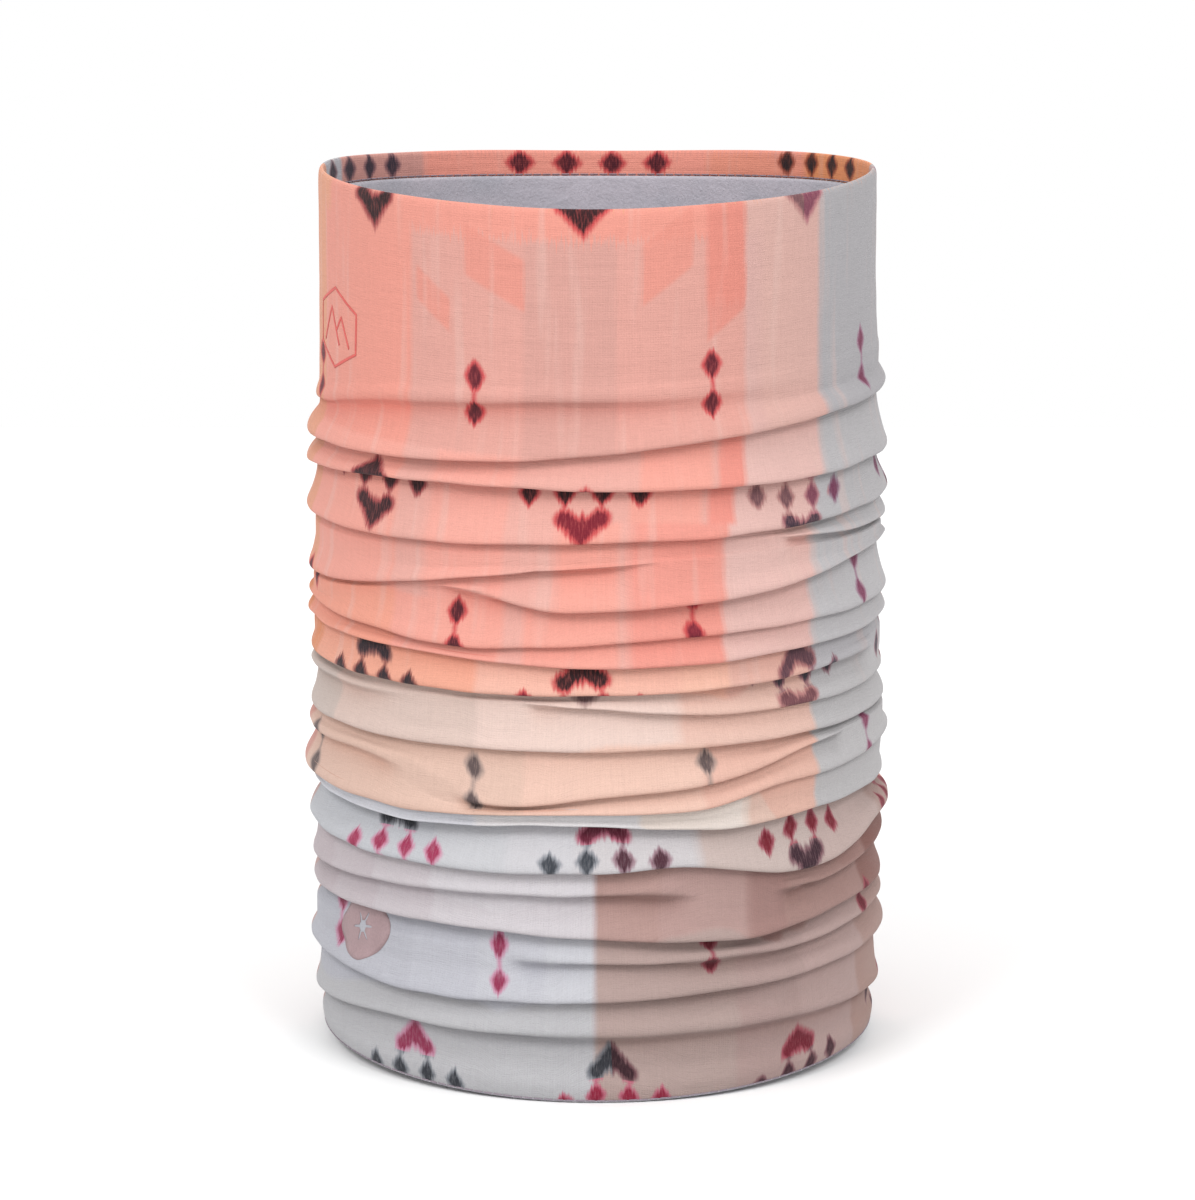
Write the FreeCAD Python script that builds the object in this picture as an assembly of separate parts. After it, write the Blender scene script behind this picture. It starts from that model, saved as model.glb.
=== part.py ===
"""Two-layer neck gaiter, standing on its lower edge with the cloth gathered into folds.

Millimetres, +Z up, origin at the middle of the lower edge. -Y is the front and +X is to the right
seen from the front. The cloth tubes are turned solids about Z: the printed shell outside, the
brushed lining inside. They are joined by a seam 8.3 mm below the rim, on the inside, and by a
second one at the lower edge.
"""
import FreeCAD, Part
import math
import os

# ---- driving dimensions ----
HEIGHT = 248.0              # lower edge to the top of the fold, as gathered
TOP_RADIUS = 78.0           # outside of the smooth upper stretch: 490 mm round, 245 mm laid flat
NECK_RADIUS = 74.8          # inside of the lining, where the neck goes
CREASE_RADIUS = 79.2        # outside of the shell where two folds meet
CREST_RADIUS = 82.6         # outside of the shell at the fullest part of a fold
SHELL_THICKNESS = 0.6
LINING_THICKNESS = 0.8
ALLOWANCE_THICKNESS = 0.5   # cloth pressed flat inside a seam
ALLOWANCE_LENGTH = 5.0
TURN_IN = 8.3               # printed cloth turned inside the top fold
SEAM_GAP = 0.6              # groove that the seam's thread lies in
LAYER_GAP = 0.15            # between cloth layers inside a seam
LINING_PEEK = 0.9           # lining showing below the shell's lower edge
THREAD_THICKNESS = 0.5
LOOPER_DEPTH = 0.6          # thread wrapped over the raw edges
FILM_THICKNESS = 0.2        # heat-pressed film of the two marks
SIDE_SEAM_ANGLE = 93.0      # degrees from the front towards +X, just behind the side

# heights of the creases between the folds, from the lower edge up; the last one is soft
CREASE_HEIGHTS = [
    18.5, 29.5, 46.5, 65.0, 82.0, 99.0, 115.0,
    128.0, 141.0, 157.0, 171.0, 182.0, 193.0,
]

# the two marks: angle from the front towards +X, height of the middle, width round the tube, height
UPPER_MARK = {"angle": -67.5, "z": 208.0, "width": 28.0, "height": 21.0}
LOWER_BADGE = {"angle": -55.0, "z": 38.0, "width": 25.0, "height": 16.0}
MARK_LINE = 0.9             # line width of the upper mark
# the two peaks in the upper mark, in halves of its width and height from its middle
PEAKS = [(-0.55, -0.3), (-0.15, 0.4), (0.1, 0.0), (0.25, 0.2), (0.6, -0.3)]
SNOW_ARM_WIDTH = 1.1        # cut-out arms in the lower badge
SNOW_REACH = 0.42           # length of an arm, in halves of the badge's height
SNOW_TURNS = (30, 90, 150)  # degrees, one for each bar through the middle
BADGE_FOLD = 2              # folds counted from the lower edge, the first being 0
CUT_MARGIN = 2.0            # how far the cutting shapes of the marks reach past the cloth
SIDE_STITCH_WIDTH = 1.2
THREAD_SETBACK = 0.1        # how far the seam threads lie inside the cloth's face

# ---- sizes that follow ----
SHELL_INNER = TOP_RADIUS - SHELL_THICKNESS
LINING_OUTER = NECK_RADIUS + LINING_THICKNESS
SHELL_EDGE_Z = LINING_PEEK + SEAM_GAP
RIM_RADIUS = (TOP_RADIUS - NECK_RADIUS) / 2
RIM_MIDDLE = (TOP_RADIUS + NECK_RADIUS) / 2
BAND_EDGE_Z = HEIGHT - TURN_IN
LINING_TOP_Z = BAND_EDGE_Z - SEAM_GAP
TOP_RAW_EDGE_Z = LINING_TOP_Z - ALLOWANCE_LENGTH
BOTTOM_RAW_EDGE_Z = SHELL_EDGE_Z + ALLOWANCE_LENGTH


def point(radius, z):
    return FreeCAD.Vector(radius, 0, z)


def arc(start, middle, end):
    return Part.Arc(point(*start), point(*middle), point(*end)).toShape()


def line(start, end):
    return Part.LineSegment(point(*start), point(*end)).toShape()


def path(points):
    """Straight edges through (radius, z) points."""
    return [line(a, b) for a, b in zip(points, points[1:])]


def turned(edges):
    """The solid of revolution about Z of a closed outline of edges."""
    face = Part.Face(Part.Wire(Part.__sortEdges__(edges)))
    return face.revolve(FreeCAD.Vector(0, 0, 0), FreeCAD.Vector(0, 0, 1), 360)


def ring(inner, outer, low, high):
    """A ring of rectangular section."""
    return turned(path([(inner, low), (outer, low), (outer, high), (inner, high), (inner, low)]))


def folded_wall(offset):
    """The gathered wall's line, offset outwards, from the lower edge up to the last crease."""
    heights = [SHELL_EDGE_Z] + CREASE_HEIGHTS
    radii = [CREASE_RADIUS] * (len(heights) - 1) + [TOP_RADIUS]
    edges = []
    for low, high, r_low, r_high in zip(heights, heights[1:], radii, radii[1:]):
        crest = CREST_RADIUS - (CREASE_RADIUS - (r_low + r_high) / 2)
        middle = (crest + offset, (low + high) / 2)
        edges.append(arc((r_low + offset, low), middle, (r_high + offset, high)))
    return edges


def outer_shell():
    """The printed tube: folded wall, smooth top, rim, turned-in band and both allowances."""
    last_crease = CREASE_HEIGHTS[-1]
    rim_z = HEIGHT - RIM_RADIUS
    top_out = SHELL_INNER - LAYER_GAP * 2
    top_in = top_out - ALLOWANCE_THICKNESS
    wall_in = CREASE_RADIUS - SHELL_THICKNESS
    low_out = wall_in - LAYER_GAP
    low_in = low_out - ALLOWANCE_THICKNESS
    flange_top = BAND_EDGE_Z + ALLOWANCE_THICKNESS
    band_out = NECK_RADIUS + SHELL_THICKNESS
    outside = folded_wall(0) + [
        line((TOP_RADIUS, last_crease), (TOP_RADIUS, rim_z)),
        arc((TOP_RADIUS, rim_z), (RIM_MIDDLE, HEIGHT), (NECK_RADIUS, rim_z)),
    ]
    band_and_allowance = path([
        (NECK_RADIUS, rim_z),
        (NECK_RADIUS, BAND_EDGE_Z),
        (top_in, BAND_EDGE_Z),
        (top_in, TOP_RAW_EDGE_Z),
        (top_out, TOP_RAW_EDGE_Z),
        (top_out, flange_top),
        (band_out, flange_top),
        (band_out, rim_z),
    ])
    inside = [
        arc((band_out, rim_z), (RIM_MIDDLE, HEIGHT - SHELL_THICKNESS), (SHELL_INNER, rim_z)),
        line((SHELL_INNER, rim_z), (SHELL_INNER, last_crease)),
    ]
    hem_z = SHELL_EDGE_Z + ALLOWANCE_THICKNESS
    first_crease = CREASE_HEIGHTS[0]
    crest = (CREST_RADIUS - SHELL_THICKNESS, (hem_z + first_crease) / 2)
    lowest_inner_fold = arc((wall_in, hem_z), crest, (wall_in, first_crease))
    lower_hem = path([
        (wall_in, hem_z),
        (low_out, hem_z),
        (low_out, BOTTOM_RAW_EDGE_Z),
        (low_in, BOTTOM_RAW_EDGE_Z),
        (low_in, SHELL_EDGE_Z),
        (CREASE_RADIUS, SHELL_EDGE_Z),
    ])
    inner_wall = folded_wall(-SHELL_THICKNESS)[1:]
    inner_wall.append(lowest_inner_fold)
    return turned(outside + band_and_allowance + inside + inner_wall + lower_hem)


def lining():
    """The brushed tube, turned outwards at both ends, where its allowances lie between the layers."""
    top_in = LINING_OUTER + LAYER_GAP
    top_out = top_in + ALLOWANCE_THICKNESS
    low_out = CREASE_RADIUS - SHELL_THICKNESS - LAYER_GAP * 2 - ALLOWANCE_THICKNESS
    low_in = low_out - ALLOWANCE_THICKNESS
    return turned(path([
        (NECK_RADIUS, 0),
        (CREASE_RADIUS, 0),
        (CREASE_RADIUS, LINING_PEEK),
        (low_out, LINING_PEEK),
        (low_out, BOTTOM_RAW_EDGE_Z),
        (low_in, BOTTOM_RAW_EDGE_Z),
        (low_in, LINING_PEEK),
        (LINING_OUTER, LINING_PEEK),
        (LINING_OUTER, LINING_TOP_Z - LINING_THICKNESS),
        (top_in, LINING_TOP_Z - LINING_THICKNESS),
        (top_in, TOP_RAW_EDGE_Z),
        (top_out, TOP_RAW_EDGE_Z),
        (top_out, LINING_TOP_Z),
        (NECK_RADIUS, LINING_TOP_Z),
        (NECK_RADIUS, 0),
    ]))


def side_seam_thread(inner):
    """A straight run of stitches up the side seam, standing on the cylinder of that inner radius."""
    low = BOTTOM_RAW_EDGE_Z + 2 * LOOPER_DEPTH
    high = TOP_RAW_EDGE_Z - 2 * LOOPER_DEPTH
    corner = FreeCAD.Vector(inner, -SIDE_STITCH_WIDTH / 2, low)
    bar = Part.makeBox(THREAD_THICKNESS, SIDE_STITCH_WIDTH, high - low, corner)
    bar.rotate(FreeCAD.Vector(0, 0, 0), FreeCAD.Vector(0, 0, 1), SIDE_SEAM_ANGLE - 90)
    return bar


def prism(polygons, mark, depth_from, depth_to):
    """Radial prism of flat polygons drawn in the mark's own plane: x round the tube, y up."""
    angle = math.radians(mark["angle"])
    outward = FreeCAD.Vector(math.sin(angle), -math.cos(angle), 0)
    across = FreeCAD.Vector(math.cos(angle), math.sin(angle), 0)
    middle = outward * depth_from + FreeCAD.Vector(0, 0, mark["z"])
    solids = []
    for polygon in polygons:
        corners = [middle + across * x + FreeCAD.Vector(0, 0, y) for x, y in polygon]
        face = Part.Face(Part.makePolygon(corners + [corners[0]]))
        solids.append(face.extrude(outward * (depth_to - depth_from)))
    return solids


def regular_polygon(count, half_width, half_height, turn=0.0):
    angles = [math.radians(turn) + 2 * math.pi * k / count for k in range(count)]
    return [(half_width * math.cos(a), half_height * math.sin(a)) for a in angles]


def stroke(points, width):
    """A bar of that width along each straight run of points."""
    bars = []
    for (x0, y0), (x1, y1) in zip(points, points[1:]):
        length = math.hypot(x1 - x0, y1 - y0)
        nx = (y0 - y1) / length * width / 2
        ny = (x1 - x0) / length * width / 2
        bars.append([(x0 + nx, y0 + ny), (x1 + nx, y1 + ny), (x1 - nx, y1 - ny), (x0 - nx, y0 - ny)])
    return bars


def upper_mark():
    """A hexagon outline with two peaks in it, on the smooth upper stretch."""
    half_w = UPPER_MARK["width"] / 2
    half_h = UPPER_MARK["height"] / 2
    hexagon = regular_polygon(6, half_w, half_h, turn=90)
    inside = [(x * (1 - MARK_LINE / half_w), y * (1 - MARK_LINE / half_h)) for x, y in hexagon]
    # the mark reaches so far round the tube that its edges lie this much deeper than its middle
    sag = TOP_RADIUS - math.sqrt(TOP_RADIUS ** 2 - half_w ** 2)
    depth = (TOP_RADIUS - sag - CUT_MARGIN, TOP_RADIUS + CUT_MARGIN)
    outline = prism([hexagon], UPPER_MARK, *depth)[0].cut(prism([inside], UPPER_MARK, *depth)[0])
    peaks = [(x * half_w, y * half_h) for x, y in PEAKS]
    bars = prism(stroke(peaks, MARK_LINE), UPPER_MARK, *depth)
    drawn = bars[0].multiFuse(bars[1:])
    low = UPPER_MARK["z"] - half_h - CUT_MARGIN
    high = UPPER_MARK["z"] + half_h + CUT_MARGIN
    band = ring(TOP_RADIUS, TOP_RADIUS + FILM_THICKNESS, low, high)
    return Part.makeCompound(band.common(outline).Solids + band.common(drawn).Solids)


def lower_badge():
    """A solid lozenge with a six-armed snow star cut out of it, on the fold over the second crease."""
    half_w = LOWER_BADGE["width"] / 2
    half_h = LOWER_BADGE["height"] / 2
    sag = CREASE_RADIUS - math.sqrt(CREASE_RADIUS ** 2 - half_w ** 2)
    depth = (CREASE_RADIUS - sag - CUT_MARGIN, CREST_RADIUS + CUT_MARGIN)
    plate = prism([regular_polygon(4, half_w, half_h)], LOWER_BADGE, *depth)[0]
    reach = SNOW_REACH * half_h
    arms = []
    for turn in SNOW_TURNS:
        dx = reach * math.cos(math.radians(turn))
        dy = reach * math.sin(math.radians(turn))
        arms += stroke([(-dx, -dy), (dx, dy)], SNOW_ARM_WIDTH)
    for arm in prism(arms, LOWER_BADGE, *depth):
        plate = plate.cut(arm)
    under_face = folded_wall(0)[BADGE_FOLD]
    outer_face = folded_wall(FILM_THICKNESS)[BADGE_FOLD]
    fold_ends = CREASE_HEIGHTS[BADGE_FOLD - 1:BADGE_FOLD + 1]
    ends = [line((CREASE_RADIUS, z), (CREASE_RADIUS + FILM_THICKNESS, z)) for z in fold_ends]
    skin = turned([under_face, outer_face] + ends)
    return Part.makeCompound(skin.common(plate).Solids)


def seam_threads():
    """Needle threads in the grooves of the round seams, looper threads over their raw edges, side seams."""
    band_face = NECK_RADIUS + THREAD_SETBACK
    edge_face = CREASE_RADIUS - THREAD_SETBACK
    top_raw_in = LINING_OUTER + LAYER_GAP
    top_raw_out = SHELL_INNER - 2 * LAYER_GAP
    low_raw_out = CREASE_RADIUS - SHELL_THICKNESS - LAYER_GAP
    low_raw_in = low_raw_out - LAYER_GAP - 2 * ALLOWANCE_THICKNESS
    return {
        "top_seam_needle_thread":
            ring(band_face, band_face + THREAD_THICKNESS, LINING_TOP_Z, BAND_EDGE_Z),
        "top_seam_looper_thread":
            ring(top_raw_in, top_raw_out, TOP_RAW_EDGE_Z - LOOPER_DEPTH, TOP_RAW_EDGE_Z),
        "bottom_seam_needle_thread":
            ring(edge_face - THREAD_THICKNESS, edge_face, LINING_PEEK, SHELL_EDGE_Z),
        "bottom_seam_looper_thread":
            ring(low_raw_in, low_raw_out, BOTTOM_RAW_EDGE_Z, BOTTOM_RAW_EDGE_Z + LOOPER_DEPTH),
        "shell_side_seam_thread":
            side_seam_thread(SHELL_INNER - THREAD_SETBACK - THREAD_THICKNESS),
        "lining_side_seam_thread":
            side_seam_thread(LINING_OUTER + THREAD_SETBACK),
    }


def main():
    nodes = {
        "outer_shell": outer_shell(),
        "lining": lining(),
        "upper_mark": upper_mark(),
        "lower_badge": lower_badge(),
    }
    nodes.update(seam_threads())
    os.makedirs("parts", exist_ok=True)
    for name, shape in nodes.items():
        state = "valid" if shape.isValid() else "NOT VALID"
        print(name, state, len(shape.Solids), "solid(s)", round(shape.Volume), "mm3")
        shape.exportStep(f"parts/{name}.step")


main()
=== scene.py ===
"""Looks of the neck gaiter: a gathered tube of printed jersey over a brushed lining.

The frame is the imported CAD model, in metres. Lengths in the tables below are millimetres and are
turned into metres where the meshes are made. Angles are degrees round the tube from the front (-Y),
positive towards +X. "Cloth" is the distance along the printed cloth, down from the top fold.
"""
import bmesh
import bpy
import math
import numpy as np
from functools import partialmethod
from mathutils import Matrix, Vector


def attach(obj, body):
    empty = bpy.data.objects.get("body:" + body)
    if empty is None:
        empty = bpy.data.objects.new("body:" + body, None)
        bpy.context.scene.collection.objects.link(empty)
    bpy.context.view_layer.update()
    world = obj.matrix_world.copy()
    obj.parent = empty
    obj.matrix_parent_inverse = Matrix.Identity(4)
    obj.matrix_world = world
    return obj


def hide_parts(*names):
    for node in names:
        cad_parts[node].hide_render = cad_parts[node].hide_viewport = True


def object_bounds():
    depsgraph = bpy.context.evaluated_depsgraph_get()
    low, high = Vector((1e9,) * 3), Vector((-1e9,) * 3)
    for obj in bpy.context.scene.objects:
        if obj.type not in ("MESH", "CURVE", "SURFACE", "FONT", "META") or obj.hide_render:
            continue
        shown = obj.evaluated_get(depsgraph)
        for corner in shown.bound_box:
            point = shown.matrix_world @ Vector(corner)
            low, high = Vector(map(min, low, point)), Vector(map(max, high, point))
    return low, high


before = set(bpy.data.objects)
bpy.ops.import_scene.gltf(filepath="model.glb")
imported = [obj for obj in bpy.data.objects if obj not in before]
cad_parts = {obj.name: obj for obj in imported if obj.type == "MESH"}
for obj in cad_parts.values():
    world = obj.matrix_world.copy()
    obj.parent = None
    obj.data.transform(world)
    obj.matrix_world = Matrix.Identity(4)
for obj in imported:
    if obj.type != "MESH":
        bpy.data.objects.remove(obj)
CAD_LOW, CAD_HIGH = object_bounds()
MM = 0.001
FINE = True

# ---- sizes, in mm and degrees ----
RIM_LOW = CAD_HIGH.z / MM - 1.8  # the rim at the front and back; it rises at the sides
EDGE_RISE = 3.5  # how far both edges rise at the sides
SIDE_SEAM = 93.0  # angle of the side seam
WALL_RADIUS = 78.3  # smooth upper stretch

# ---- the gathered folds, from the top down ----
# each crease: (drop, lip, line, tuck). drop: how far the cloth below starts inside the lip above.
# lip: radius of the lip. line: (angle, height of the crease). tuck: (angle, mm of cloth hidden in it).
CREASES = [
    (0.9, 79.6,
     [(-80, 186), (-45, 191.5), (-20, 193.5), (25, 195), (70, 197), (120, 196), (180, 192),
      (-130, 187)],
     [(-90, 3), (-60, 1.8), (-20, 1.5), (10, 0.8), (60, 0), (130, 1), (180, 2), (-130, 3)]),
    (2.3, 82.0,
     [(-80, 176.2), (-55, 176.8), (-25, 177.8), (0, 180.6), (25, 184.2), (48, 187), (75, 189.5),
      (125, 187), (180, 180), (-125, 175)],
     [(-78, 16.5), (-50, 14.5), (-25, 13), (0, 10.5), (22, 9), (45, 6.5), (70, 7), (180, 12)]),
    (2.4, 82.2,
     [(-80, 168.3), (-60, 170), (-35, 171.4), (0, 171), (40, 170.8), (80, 172), (130, 169),
      (-140, 165)],
     [(-78, 6), (-50, 6), (-25, 7.5), (0, 12), (22, 11), (45, 9), (70, 9), (180, 9)]),
    (1.9, 82.0,
     [(-80, 154.5), (-40, 154.7), (0, 156.8), (40, 157.8), (80, 159.5), (135, 156), (-150, 153)],
     [(-78, 8), (-50, 6.5), (-25, 4.5), (0, 9), (22, 6), (45, 8), (70, 6), (180, 11)]),
    (2.2, 81.6,
     [(35, 155), (56, 153.8), (80, 152.5), (120, 150), (180, 146), (-120, 147), (-80, 148.5), (0, 152)],
     [(37, 0), (50, 3), (65, 4.5), (100, 8), (180, 7), (-120, 2), (-90, 0), (0, 0)]),
    (1.8, 81.8,
     [(-85, 137.5), (-60, 139.3), (-28, 145.6), (0, 150.6), (30, 150), (80, 149.5), (130, 144),
      (-140, 137)],
     [(-100, 7), (-60, 5.5), (-20, 5), (0, 1.3), (14, 0), (90, 0), (150, 3), (-160, 6)]),
    (2.3, 82.0,
     [(-85, 133.5), (-45, 140), (-33, 142.4), (-8, 138), (10, 138.6), (35, 141.3), (60, 145.8),
      (80, 147), (130, 140), (-150, 132.5)],
     [(-80, 0), (-44, 0), (-25, 1.5), (-12, 5), (0, 11.2), (25, 8.7), (45, 9.4), (70, 7), (140, 7),
      (180, 3), (-120, 0)]),
    (1.3, 81.8,
     [(-80, 129.8), (-50, 128.5), (-25, 126.8), (0, 129), (35, 131), (80, 131.5), (140, 129),
      (-140, 128)],
     [(-78, 10), (-50, 15), (-25, 13), (0, 10.3), (22, 12), (45, 10.9), (70, 10.5), (180, 11)]),
    (1.5, 82.0,
     [(-80, 124.3), (-40, 124.4), (5, 122.4), (40, 123.8), (80, 125), (140, 122), (-140, 121.5)],
     [(-78, 12.2), (-50, 15), (-25, 19.8), (0, 10), (22, 14.5), (45, 14.6), (70, 17.3), (180, 12)]),
    (2.2, 81.6,
     [(-85, 114.4), (-40, 114.4), (0, 114.8), (40, 116), (60, 117.2), (120, 114), (-140, 112)],
     [(-80, 13), (-50, 15), (-20, 13.5), (0, 12), (22, 10.5), (40, 4), (60, 2), (75, 0), (110, 0),
      (180, 8), (-120, 12)]),
    (1.6, 81.2,
     [(-85, 109.5), (-50, 110), (-18, 111.5), (2, 111), (20, 108.5), (50, 108), (85, 109.5), (140, 108),
      (-150, 106)],
     [(-80, 2), (-55, 1), (-35, 0), (-16, 0), (0, 5), (20, 8), (45, 10), (75, 12), (150, 7),
      (-150, 4)]),
    (1.7, 81.6,
     [(-80, 98.5), (-45, 98.6), (0, 99.4), (45, 99.7), (80, 100.3), (140, 98), (-140, 96.5)],
     [(-78, 9), (-50, 11), (-25, 10.5), (0, 7), (22, 8), (45, 12), (70, 14), (180, 9)]),
    (1.6, 82.4,
     [(-80, 91.5), (-45, 91.4), (-24, 83.8), (0, 86.5), (25, 90), (48, 96.5), (75, 97), (130, 92),
      (-140, 90)],
     [(-80, 2), (-55, 2), (-38, 0), (-30, 0), (-22, 1.6), (0, 7.6), (22, 7.6), (35, 6), (45, 4.5),
      (58, 0), (110, 0), (180, 6)]),
    (1.3, 83.2,
     [(-75, 80.2), (-45, 79.7), (0, 82.4), (20, 82.7), (36, 87), (50, 87.8), (80, 90), (130, 86),
      (-140, 80)],
     [(-78, 10), (-50, 13), (-25, 14.5), (0, 10.7), (22, 9.5), (45, 13.1), (70, 12.4), (180, 9)]),
    (2.4, 81.6,
     [(-75, 77.3), (-45, 76.3), (0, 78.6), (25, 76.3), (50, 77.9), (80, 77.6), (140, 76), (-140, 75.5)],
     [(-78, 10), (-62, 10), (-50, 13), (-38, 14.3), (-25, 10.8), (0, 9.3), (22, 9.4), (45, 12),
      (70, 10), (180, 9)]),
    (1.9, 83.0,
     [(-80, 65.7), (-40, 65), (0, 65.8), (18, 66.7), (40, 61.6), (52, 61.9), (60, 64.6), (70, 68.4),
      (82, 69.5), (140, 65), (-140, 64)],
     [(-78, 10), (-50, 10.5), (-38, 8.5), (-10, 10), (8, 13), (22, 20), (45, 12), (70, 14), (180, 10)]),
    (2.2, 82.0,
     [(-80, 54.3), (-47, 56.9), (-20, 58.6), (5, 59), (40, 56), (52, 57), (62, 59), (80, 61.5),
      (140, 56), (-140, 53)],
     [(-80, 5), (-50, 2.6), (-20, 2.6), (4, 2.4), (22, 0), (36, 0), (45, 2), (55, 6), (70, 12), (90, 9),
      (180, 8)]),
    (2.4, 81.6,
     [(-80, 47), (-20, 48.2), (5, 46.5), (35, 44.6), (45, 45.9), (53, 47.2), (68, 48.8), (82, 49),
      (140, 45), (-140, 45)],
     [(-80, 10.6), (-50, 10), (-20, 14.3), (0, 10), (22, 5), (70, 5), (180, 8)]),
    (1.9, 81.4,
     [(-80, 37.5), (-30, 39), (0, 39.9), (40, 39.3), (55, 40.7), (70, 42.4), (82, 42.6), (140, 37),
      (-140, 35)],
     [(-80, 0), (-20, 0), (5, 4), (25, 1.5), (45, 3), (80, 4), (130, 4), (180, 3), (-120, 0)]),
    (2.2, 82.2,
     [(-75, 30), (-30, 27.9), (-10, 29), (20, 30), (50, 32), (80, 33.4), (140, 29), (-140, 27)],
     [(-80, 6), (-20, 7), (0, 6), (15, 3), (45, 4), (80, 5), (180, 6)]),
    (2.2, 81.4,
     [(-80, 15.2), (-50, 18.8), (0, 18.8), (30, 19.1), (80, 17.2), (140, 16), (-140, 15)],
     [(-80, 4), (-40, 4), (0, 1.8), (22, 1.5), (45, 1.5), (80, 3), (180, 5)]),
]
CREASE_DEPTH = 1.25  # every drop is this much deeper
LEAST_GAP = 2.2  # mm kept between two crease lines
# section over the rim, from the hidden allowance to the outside: (radius, mm below the rim)
RIM_CREST = (77.3, -0.2)
RIM_SECTION = [(77.4, 12.4), (77.4, 10.2), (77.2, 8.6), (76.8, 7.7), (76.45, 7.2), (76.4, 6.2),
               (76.4, 4.4), (76.45, 2.4), (76.5, 1.0), (76.8, 0.1), RIM_CREST, (77.8, 0.1),
               (78.2, 1.0), (78.3, 2.8)]
TOP_SEAM = 7.0  # the needle seam's depth below the rim
FIRST_WALL_STEPS = 15  # control rows down the smooth upper stretch
EDGE_RADIUS = 79.0  # printed cloth at the lower edge
# section round the lower edge, from outside to inside: (mm out from the edge, mm above it)
EDGE_SECTION = [(0.7, 4.4), (0.4, 1.8), (0.1, 0.2), (-0.3, -0.35), (-0.9, -0.1), (-1.4, 1.2), (-1.5, 5.0)]
LINING_PEEK = 0.9  # lining that shows below the print
COLUMNS = 320 if FINE else 200
PER_SPAN = 3  # mesh rows for each control row
CLOTH_THICKNESS = 0.45


def round_line(points, angles):
    """A smooth closed line through (angle, value) points, read at these angles."""
    knots = sorted(points)
    at = np.array([k[0] for k in knots], float)
    value = np.array([k[1] for k in knots], float)
    at = np.concatenate([at - 720, at - 360, at, at + 360, at + 720])
    value = np.tile(value, 5)
    slope = np.gradient(value, at)
    i = np.clip(np.searchsorted(at, angles, side="right") - 1, 1, len(at) - 2)
    span = at[i + 1] - at[i]
    t = (angles - at[i]) / span
    rise = value[i + 1] - value[i]
    return (value[i] + t * t * (3 - 2 * t) * rise
            + span * (t * (1 - t) ** 2 * slope[i] - t * t * (1 - t) * slope[i + 1]))


def wander(angles, low, high, seed):
    """A random line round the tube, repeating after 360 degrees, about 1 high, of waves low to high."""
    own = np.random.RandomState(seed)
    turns = np.arange(low, high + 1)
    size = own.normal(size=len(turns)) / np.sqrt(turns / low)
    phase = own.uniform(0, 2 * math.pi, len(turns))
    waves = size[:, None] * np.cos(np.radians(angles)[None, :] * turns[:, None] + phase[:, None])
    line = waves.sum(0)
    return line / max(1e-6, np.abs(line).max())


def mix(a, b, w):
    return a + (b - a) * w


def smooth(t):
    """0 up to 0, 1 from 1 on, smooth between."""
    t = np.clip(t, 0, 1)
    return t * t * (3 - 2 * t)


def edge_height(angles):
    """How far the rim and the lower edge stand above their lowest place, at these angles."""
    return EDGE_RISE * np.sin(np.radians(angles)) ** 2


class Net:
    """Rows of control points round the tube, smoothed into mesh rows by a cubic B-spline."""

    def __init__(self, angles):
        self.angles = angles
        self.radius, self.height, self.tucks = [], [], []

    def add(self, radius, height):
        flat = np.ones_like(self.angles)
        self.radius.append(radius * flat)
        self.height.append(height * flat)

    def rows_of(self, control):
        """The mesh row nearest to a control row."""
        return (control + 1) * PER_SPAN

    def surface(self):
        """(radius, height) arrays of mesh rows by columns."""
        made = []
        for rows in (self.radius, self.height):
            c = np.array([rows[0]] * 2 + rows + [rows[-1]] * 2)
            out = []
            for j in range(len(c) - 3):
                for k in range(PER_SPAN):
                    t = k / PER_SPAN
                    b = ((1 - t) ** 3 / 6, (3 * t ** 3 - 6 * t * t + 4) / 6,
                         (-3 * t ** 3 + 3 * t * t + 3 * t + 1) / 6, t ** 3 / 6)
                    out.append(sum(w * c[j + n] for n, w in enumerate(b)))
            made.append(np.array(out))
        return made


def crease_rows(angles):
    """Each crease's height, weight, tuck, lip radius and drop at these angles."""
    made = []
    for n, (drop, lip, line, tuck) in enumerate(CREASES):
        line = round_line(line, angles) + 0.25 * wander(angles, 9, 24, 100 + n)
        tuck = np.clip(round_line(tuck, angles), 0, None)
        # a soft valley forms up to 1.2 mm of hidden cloth, a full tuck from 1.3 to 3.9 mm
        weight, soft = smooth((tuck - 1.3) / 2.6), smooth(tuck / 1.2)
        lip = lip + 0.7 * wander(angles, 2, 9, 200 + n) + 0.12 * wander(angles, 12, 40, 300 + n)
        drop = CREASE_DEPTH * drop * (1 + 0.18 * wander(angles, 2, 8, 400 + n))
        made.append({"z": line, "weight": weight, "soft": soft, "tuck": tuck, "lip": lip, "drop": drop})
    for above, below in zip(made, made[1:]):
        below["z"] = np.minimum(below["z"], above["z"] - LEAST_GAP)
    return made


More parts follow.
